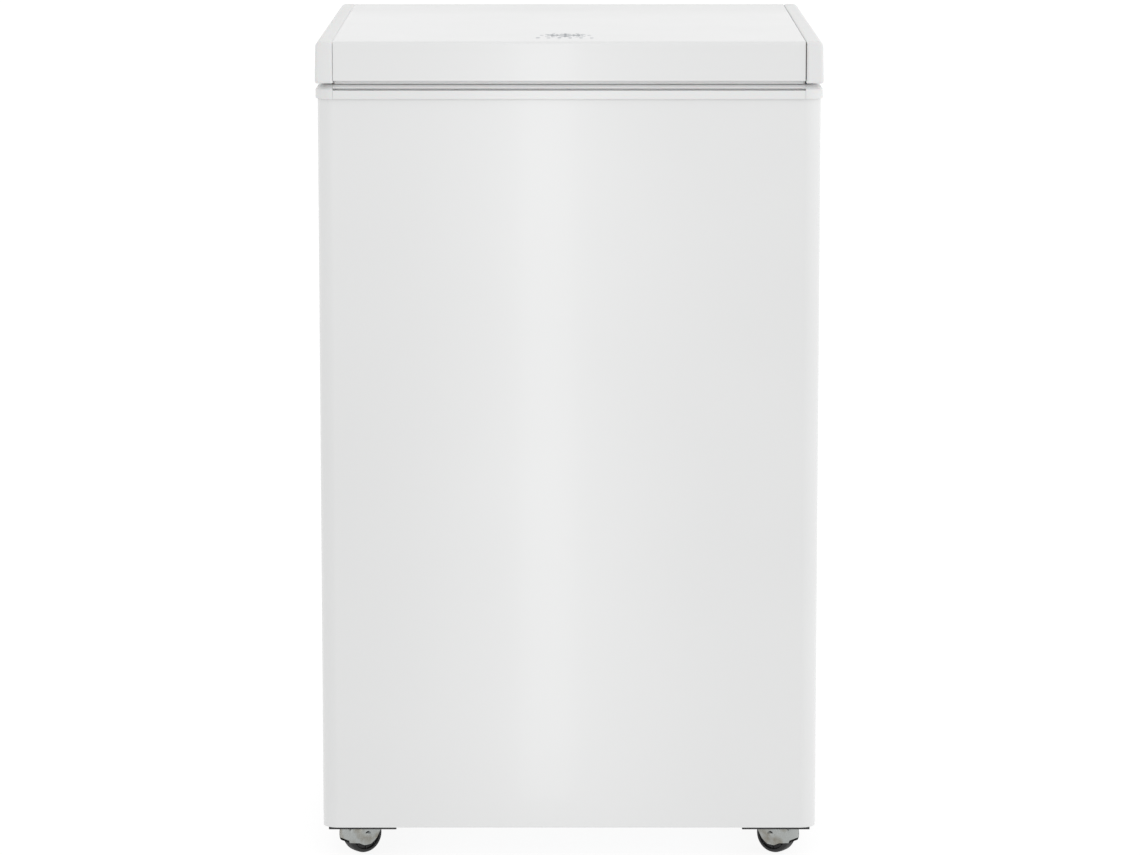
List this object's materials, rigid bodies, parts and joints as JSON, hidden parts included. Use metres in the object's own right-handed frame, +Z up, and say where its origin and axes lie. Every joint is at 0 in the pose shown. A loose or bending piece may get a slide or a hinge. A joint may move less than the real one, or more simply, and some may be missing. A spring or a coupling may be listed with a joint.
{
  "type": "chest freezer",
  "caption": "Compact white chest freezer with a hinged insulated lid, a stepped tank, a hanging basket and swivel casters under its base.",
  "frame": {"origin": "middle of the footprint on the floor, under the closed freezer", "axes": "+Z up, +X to the right for someone facing the front, +Y to the back, where the lid's hinges are"},
  "size_m": [0.514, 0.548, 0.85],
  "materials": {
    "white_paint": "gloss",
    "white_plastic": "satin",
    "white_sheet": "satin",
    "tank_sheet": "satin",
    "galvanised": "satin",
    "zinc_plate": "polished",
    "fastener_steel": "satin",
    "foam": "matte",
    "seal_rubber": "matte",
    "black_steel": "satin",
    "black_rubber": "matte",
    "wheel_black": "satin",
    "black_plastic": "matte",
    "grey_plastic": "satin",
    "copper_tube": "satin",
    "aluminium_tube": "satin",
    "steel_tube": "satin",
    "coated_wire": "gloss",
    "badge_print": "satin"
  },
  "bodies": {
    "cabinet": {"cabinet_wrap": "white_paint", "rear_panel": "white_sheet", "base_tray": "galvanised", "liner": "tank_sheet", "insulation_foam": "foam", "evaporator_tube": "aluminium_tube", "condenser_tube": "steel_tube", "sensor_tube": "copper_tube", "drain_tube": "white_plastic", "rim_front": "white_plastic", "rim_rear": "white_plastic", "rim_left": "white_plastic", "rim_right": "white_plastic", "rim_corners": "white_plastic", "base_rail_left": "black_steel", "base_rail_right": "black_steel", "caster_plates": "zinc_plate", "hinge_base_left": "galvanised", "hinge_base_right": "galvanised", "hinge_pins": "fastener_steel", "hinge_springs": "fastener_steel", "hinge_screws": "fastener_steel", "compressor_shell": "black_steel", "compressor_feet": "galvanised", "compressor_mounts": "black_rubber", "compressor_bolts": "fastener_steel", "relay_cover": "black_plastic", "filter_drier": "copper_tube", "suction_tube": "copper_tube", "discharge_tube": "copper_tube", "capillary_tube": "copper_tube", "compressor_cover": "white_sheet", "cover_screws": "fastener_steel", "power_inlet_gland": "black_plastic", "thermostat_body": "grey_plastic"},
    "lid": {"lid_skin": "white_paint", "lid_end_cap_left": "white_plastic", "lid_end_cap_right": "white_plastic", "lid_foam": "foam", "lid_inner_panel": "white_plastic", "lid_gasket": "seal_rubber", "lid_badge": "badge_print", "hinge_arm_left": "galvanised", "hinge_arm_right": "galvanised", "lid_hinge_screws": "fastener_steel"},
    "basket": {"basket": "coated_wire"},
    "drain_plug": {"drain_plug": "white_plastic"},
    "thermostat_knob": {"thermostat_knob": "grey_plastic"},
    "caster_front_left": {"caster_hood_front_left": "zinc_plate", "caster_axle_front_left": "zinc_plate"},
    "wheel_front_left": {"caster_wheel_front_left": "wheel_black"},
    "caster_front_right": {"caster_hood_front_right": "zinc_plate", "caster_axle_front_right": "zinc_plate"},
    "wheel_front_right": {"caster_wheel_front_right": "wheel_black"},
    "caster_rear_left": {"caster_hood_rear_left": "zinc_plate", "caster_axle_rear_left": "zinc_plate"},
    "wheel_rear_left": {"caster_wheel_rear_left": "wheel_black"},
    "caster_rear_right": {"caster_hood_rear_right": "zinc_plate", "caster_axle_rear_right": "zinc_plate"},
    "wheel_rear_right": {"caster_wheel_rear_right": "wheel_black"}
  },
  "joints": [
    {"name": "lid_hinge", "type": "hinge", "parent": "cabinet", "child": "lid", "pos_m": [0, 0.267, 0.806], "axis": [-1, 0, 0], "range_deg": [0, 85]},
    {"name": "caster_front_left_swivel", "type": "hinge", "parent": "cabinet", "child": "caster_front_left", "pos_m": [-0.226, -0.2328, 0.043], "axis": [0, 0, 1], "continuous": true},
    {"name": "wheel_front_left_spin", "type": "hinge", "parent": "caster_front_left", "child": "wheel_front_left", "pos_m": [-0.21617, -0.22592, 0.02], "axis": [0.5736, -0.8192, 0], "continuous": true},
    {"name": "caster_front_right_swivel", "type": "hinge", "parent": "cabinet", "child": "caster_front_right", "pos_m": [0.226, -0.2328, 0.043], "axis": [0, 0, 1], "continuous": true},
    {"name": "wheel_front_right_spin", "type": "hinge", "parent": "caster_front_right", "child": "wheel_front_right", "pos_m": [0.21617, -0.22592, 0.02], "axis": [0.5736, 0.8192, 0], "continuous": true},
    {"name": "caster_rear_left_swivel", "type": "hinge", "parent": "cabinet", "child": "caster_rear_left", "pos_m": [-0.226, 0.221, 0.043], "axis": [0, 0, 1], "continuous": true},
    {"name": "wheel_rear_left_spin", "type": "hinge", "parent": "caster_rear_left", "child": "wheel_rear_left", "pos_m": [-0.21861, 0.23046, 0.02], "axis": [0.788, -0.6157, 0], "continuous": true},
    {"name": "caster_rear_right_swivel", "type": "hinge", "parent": "cabinet", "child": "caster_rear_right", "pos_m": [0.226, 0.221, 0.043], "axis": [0, 0, 1], "continuous": true},
    {"name": "wheel_rear_right_spin", "type": "hinge", "parent": "caster_rear_right", "child": "wheel_rear_right", "pos_m": [0.21722, 0.22918, 0.02], "axis": [0.682, 0.7314, 0], "continuous": true},
    {"name": "basket_slide", "type": "slide", "parent": "cabinet", "child": "basket", "axis": [0, -1, 0], "range_m": [0, 0.195]},
    {"name": "drain_plug_lift", "type": "slide", "parent": "cabinet", "child": "drain_plug", "axis": [0, 0, 1], "range_m": [0, 0.04]},
    {"name": "thermostat_turn", "type": "hinge", "parent": "cabinet", "child": "thermostat_knob", "pos_m": [0.165, 0.264, 0.236], "axis": [0, 1, 0], "range_deg": [0, 270]}
  ]
}
